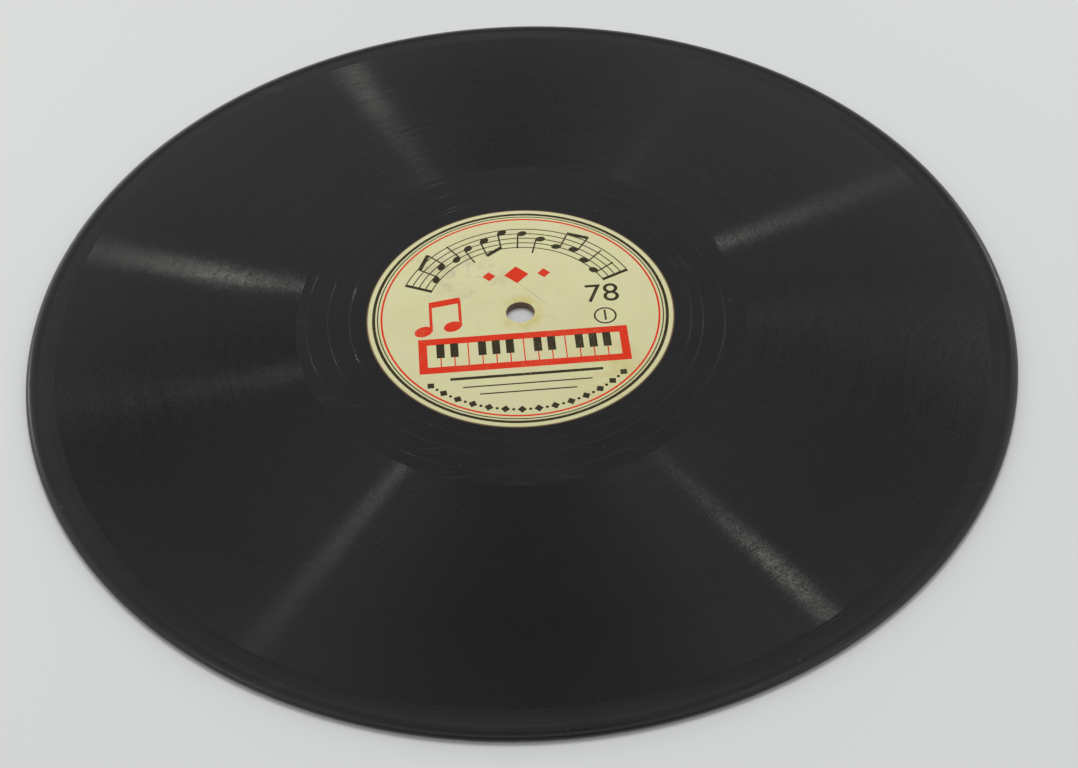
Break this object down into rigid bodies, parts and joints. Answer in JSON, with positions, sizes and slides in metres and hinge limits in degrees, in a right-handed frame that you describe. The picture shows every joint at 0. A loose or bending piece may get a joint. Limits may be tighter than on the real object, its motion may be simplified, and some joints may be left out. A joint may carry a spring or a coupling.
{
  "type": "shellac record",
  "caption": "Flat black gramophone record with a rounded rim bead, recorded band, lead-in and lead-out grooves, a paper label let into each face and a spindle hole.",
  "frame": {"origin": "on the axis of the spindle hole, in the plane that the record lies on", "axes": "+Z along the spindle hole, out of the front face; X and Y in the plane of the disc, with the front label's print upright along +Y"},
  "size_m": [0.25, 0.25, 0.0024],
  "materials": {
    "shellac": "satin black pressed shellac compound",
    "label_paper": "matt printed cream paper"
  },
  "bodies": {
    "root": {"shellac_disc": "shellac", "front_label": "label_paper", "back_label": "label_paper"}
  },
  "joints": []
}
